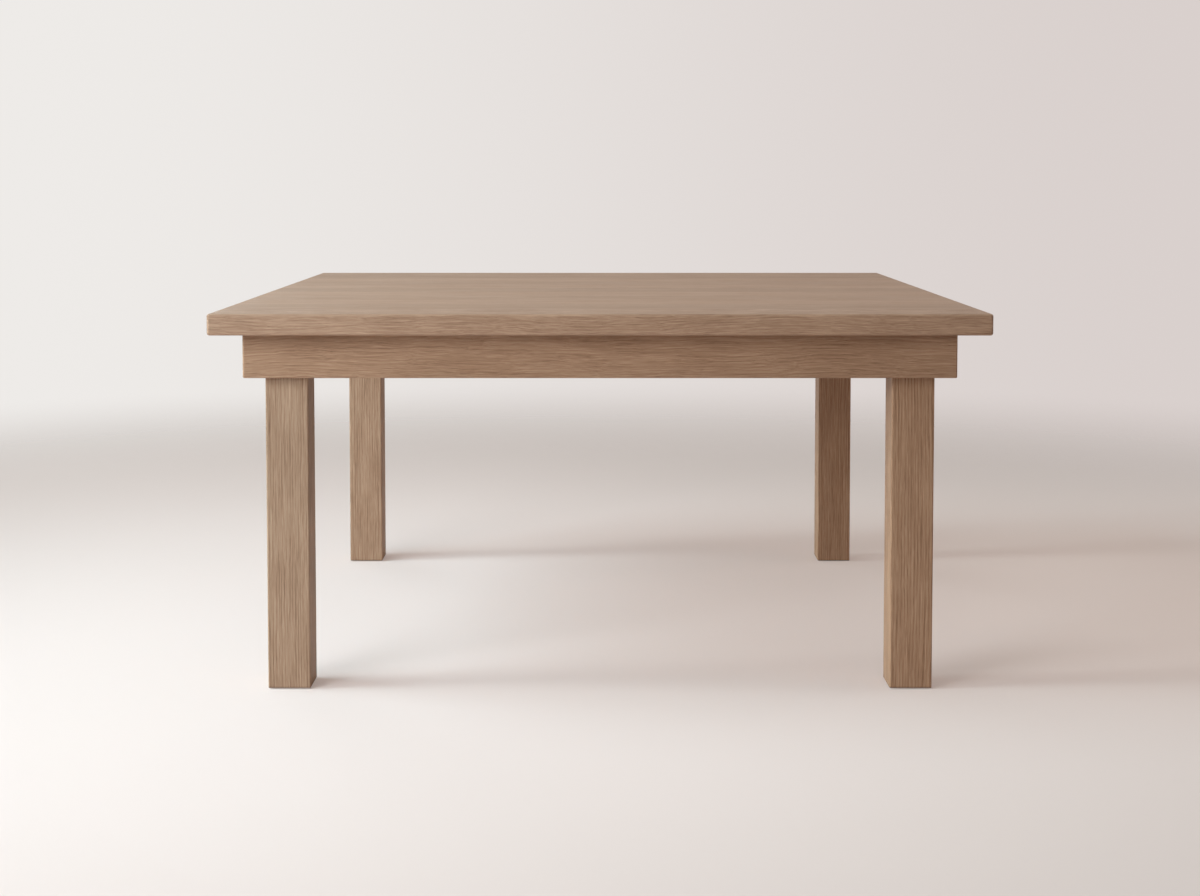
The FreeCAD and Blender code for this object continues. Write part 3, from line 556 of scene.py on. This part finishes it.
# Painted light and shade: each leg's oak is tinted lighter, darker, cooler or warmer as the light falls on
# its corner
LEG_LIGHT_AND_SHADE_TINTS = {
    "front_left": (1.00, 1.08, 1.14),
    "front_right": (1.07, 1.07, 1.06),
    "back_right": (1.0, 0.99, 0.98),
    "back_left": (1.02, 1.06, 1.10),
}
LEG_CUT = {"waviness": 0.3, "length": 1.3, "rings": 0.19}
LEG_FIRST_SEED = 131.0
LEG_SEED_STEP = 9.0


def dress_legs():
    """Upright oak with painted shade at the feet and a painted light tint for each corner, the heart line on
    one side of a leg and on the other of the next.
    """
    for number, corner in enumerate(CORNERS):
        leg = f"leg_{corner}"
        low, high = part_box(leg)
        heart = (low + high) / 2 + LEG_HEART * (1 if number % 2 else -1)
        seed = LEG_FIRST_SEED + LEG_SEED_STEP * number
        dress(leg, wood(f"oak_{leg}", OAK_TONES, "Z", heart, seed, low, high, LEG_LIGHT_AND_SHADE_TINTS[corner],
                        **LEG_CUT, on_floor=True))


# Bearers, splines and keys

BEARER_NUMBERS = (1, 2, 3)
BEARER_HEART = Vector((0.05, 0.0, -0.11))
BEARER_FIRST_SEED = 191.0
BEARER_SEED_STEP = 6.0
LOOSE_PIECE_FIBRES = {"top_splines": "X", "mitre_keys": "Z"}
LOOSE_PIECE_HEART = Vector((0.1, 0.1, 0.1))
LOOSE_PIECE_SEED = 223.0


def dress_hidden_wood():
    """Bare oak bearers, and beech for the loose splines and keys."""
    for number in BEARER_NUMBERS:
        bearer = f"bearer_{number}"
        low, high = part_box(bearer)
        heart = (low + high) / 2 + BEARER_HEART
        seed = BEARER_FIRST_SEED + BEARER_SEED_STEP * number
        dress(bearer, wood(f"oak_{bearer}", BARE_OAK_TONES, "Y", heart, seed, low, high))
    for node, fibre in LOOSE_PIECE_FIBRES.items():
        low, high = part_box(node)
        heart = high + LOOSE_PIECE_HEART
        dress(node, wood(f"beech_{node}", BEECH_TONES, fibre, heart, LOOSE_PIECE_SEED, low, high))


# Fittings and glides

ZINC_NODES = ("leg_bolts", "leg_bolt_washers", "top_clips", "top_clip_screws")
BRASS_NODES = ("leg_bolt_inserts", "glide_inserts")


def dress_fittings():
    """Zinc bolts, washers, clips and screws, and brass inserts."""
    zinc = metal("zinc_plated_steel", tint=(178, 180, 184), dulled_tint=(150, 150, 148),
                 roughness=0.34, seed=1.0)
    brass = metal("turned_brass", tint=(197, 163, 96), dulled_tint=(160, 127, 72),
                  roughness=0.30, seed=27.0)
    for node in ZINC_NODES:
        dress(node, zinc)
    for node in BRASS_NODES:
        dress(node, brass)


def dress_glides():
    """Bright stems, nylon bases and felt pads."""
    zinc = metal("bright_glide_zinc", tint=(190, 191, 194), dulled_tint=(164, 164, 163),
                 roughness=0.26, seed=14.0)
    nylon = moulded_nylon("moulded_nylon")
    felt = pressed_felt("pressed_felt")
    for corner in CORNERS:
        dress(f"glide_stem_{corner}", zinc)
        dress(f"glide_base_{corner}", nylon)
        dress(f"glide_felt_{corner}", felt)


dress_boards()
dress_aprons()
dress_legs()
dress_hidden_wood()
dress_fittings()
dress_glides()


# Floor that fades into the backdrop

FLOOR_RADIUS = 16.0
FLOOR_SEGMENTS = 96
FADE_START = 1.6
FADE_END = 5.0
FLOOR_COLOUR = colour(242, 220, 212)
FLOOR_ROUGHNESS = 0.95
FLOOR_POLISH = 0.05
# A glow that only the camera sees, which makes the shadows on the floor paler
FLOOR_GLOW = colour(243, 233, 227)
FLOOR_GLOW_SHARE = 0.27


def fading_floor():
    """A pale matt disc under the feet, clear at its far rim, so that no horizon shows."""
    mesh = bpy.data.meshes.new("floor")
    disc = bmesh.new()
    bmesh.ops.create_circle(disc, cap_ends=True, segments=FLOOR_SEGMENTS, radius=FLOOR_RADIUS)
    disc.to_mesh(mesh)
    disc.free()
    floor = bpy.data.objects.new("floor", mesh)
    bpy.context.scene.collection.objects.link(floor)
    material, tree, surface, place = new_material("pale_floor")
    surface.inputs["Base Color"].default_value = FLOOR_COLOUR
    surface.inputs["Roughness"].default_value = FLOOR_ROUGHNESS
    surface.inputs["Specular IOR Level"].default_value = FLOOR_POLISH
    rays = tree.nodes.new("ShaderNodeLightPath")
    glow = tree.nodes.new("ShaderNodeEmission")
    glow.inputs["Color"].default_value = FLOOR_GLOW
    glow_share = calculate(tree, "MULTIPLY", rays.outputs["Is Camera Ray"], FLOOR_GLOW_SHARE)
    lifted = mix_shaders(tree, glow_share, surface.outputs[0], glow.outputs[0])
    clear = tree.nodes.new("ShaderNodeBsdfTransparent")
    distance = combine(tree, "LENGTH", place.outputs["Object"], output="Value")
    faded = mix_shaders(tree, spread(tree, distance, FADE_START, FADE_END), lifted, clear.outputs[0])
    tree.links.new(faded, tree.nodes["Material Output"].inputs["Surface"])
    mesh.materials.append(material)


fading_floor()


# Light

def soft_lamp(name, position, target, size, spread_angle, watts, tint, mirrored):
    """A rectangular soft box that faces a point, with a grid that narrows its light.

    A lamp that isn't mirrored lights the wood without glare on polished faces.
    """
    lamp = bpy.data.lights.new(name, "AREA")
    lamp.shape = "RECTANGLE"
    lamp.size, lamp.size_y = size
    lamp.spread = math.radians(spread_angle)
    lamp.energy = watts
    lamp.color = tint
    holder = bpy.data.objects.new(name, lamp)
    holder.location = position
    holder.rotation_mode = "QUATERNION"
    holder.rotation_quaternion = (Vector(target) - Vector(position)).to_track_quat("-Z", "Y")
    holder.visible_camera = False
    holder.visible_glossy = mirrored
    bpy.context.scene.collection.objects.link(holder)


soft_lamp("window", position=(-12.0, -1.4, 2.7), target=(0.0, -0.4, 0.6), size=(2.6, 3.2),
          spread_angle=80.0, watts=224.0, tint=(0.77, 1.0, 1.04), mirrored=False)
soft_lamp("left_front", position=(-2.6, -3.4, 1.7), target=(0.0, -0.4, 0.6), size=(2.4, 2.0),
          spread_angle=110.0, watts=25.0, tint=(1.00, 1.0, 0.97), mirrored=False)
soft_lamp("left_near", position=(-2.2, -2.6, 1.4), target=(-0.4, -0.6, 0.6), size=(1.6, 1.6),
          spread_angle=110.0, watts=17.2, tint=(0.70, 1.0, 1.17), mirrored=False)
soft_lamp("left_high", position=(-3.0, -0.6, 2.9), target=(-0.1, 0.0, 0.76), size=(2.0, 2.0),
          spread_angle=100.0, watts=37.0, tint=(0.68, 1.0, 1.15), mirrored=False)
soft_lamp("back_left", position=(-2.6, 3.2, 1.5), target=(-0.3, 0.2, 0.76), size=(2.0, 1.5),
          spread_angle=90.0, watts=10.0, tint=(0.88, 1.0, 1.06), mirrored=True)
soft_lamp("overhead", position=(0.0, 0.0, 3.6), target=(0.0, 0.0, 0.0), size=(3.0, 3.0),
          spread_angle=120.0, watts=6.5, tint=(1.12, 1.0, 0.95), mirrored=True)
soft_lamp("right_fill", position=(3.0, 0.4, 1.1), target=(0.0, 0.4, 0.7), size=(2.6, 1.4),
          spread_angle=100.0, watts=8.5, tint=(1.0, 0.97, 0.90), mirrored=True)


# Backdrop

WORLD_COLOUR = (1.0, 0.79, 0.58, 1.0)
WORLD_LEVEL = 0.13
# Painted light on the backdrop: paler on the left, where the light comes from, and darker on the right;
# reflections see it too
BACKDROP_LIT_LEFT = colour(238, 235, 232)
BACKDROP_SHADED_RIGHT = colour(217, 208, 205)
# The sideways part of a view direction at which the backdrop reaches its left and right colours
BACKDROP_TURN = 0.32


def studio_world():
    """Even light from all round, while the camera and reflections see the backdrop, painted paler on the
    left and darker on the right.
    """
    world = bpy.data.worlds.new("studio")
    bpy.context.scene.world = world
    world.use_nodes = True
    tree = world.node_tree
    light = tree.nodes["Background"]
    light.inputs["Color"].default_value = WORLD_COLOUR
    light.inputs["Strength"].default_value = WORLD_LEVEL
    place = tree.nodes.new("ShaderNodeTexCoord")
    split = tree.nodes.new("ShaderNodeSeparateXYZ")
    tree.links.new(place.outputs["Generated"], split.inputs[0])
    backdrop = tree.nodes.new("ShaderNodeBackground")
    sideways = spread(tree, split.outputs["X"], -BACKDROP_TURN, BACKDROP_TURN)
    tree.links.new(mix_colours(tree, sideways, BACKDROP_LIT_LEFT, BACKDROP_SHADED_RIGHT), backdrop.inputs["Color"])
    rays = tree.nodes.new("ShaderNodeLightPath")
    mirrored_or_through = calculate(tree, "MAXIMUM", rays.outputs["Is Glossy Ray"],
                                    rays.outputs["Is Transmission Ray"])
    seen = calculate(tree, "MAXIMUM", rays.outputs["Is Camera Ray"], mirrored_or_through)
    chosen = mix_shaders(tree, seen, light.outputs[0], backdrop.outputs[0])
    tree.links.new(chosen, tree.nodes["World Output"].inputs["Surface"])


studio_world()


# Camera

CAMERA_DISTANCE = 4.3947
CAMERA_HEIGHT = 1.0330
CAMERA_PITCH = 3.229
CAMERA_LENS = 56.495
CAMERA_SENSOR = 36.0
CAMERA_SHIFT = -0.14

camera = bpy.data.cameras.new("camera")
camera.sensor_width = CAMERA_SENSOR
camera.sensor_fit = "HORIZONTAL"
camera.lens = CAMERA_LENS
camera.shift_y = CAMERA_SHIFT
camera_holder = bpy.data.objects.new("camera", camera)
camera_holder.location = (0.0, -CAMERA_DISTANCE, CAMERA_HEIGHT)
camera_holder.rotation_euler = (math.radians(90.0 - CAMERA_PITCH), 0.0, 0.0)
bpy.context.scene.collection.objects.link(camera_holder)
bpy.context.scene.camera = camera_holder
bpy.context.scene.view_settings.view_transform = "Standard"
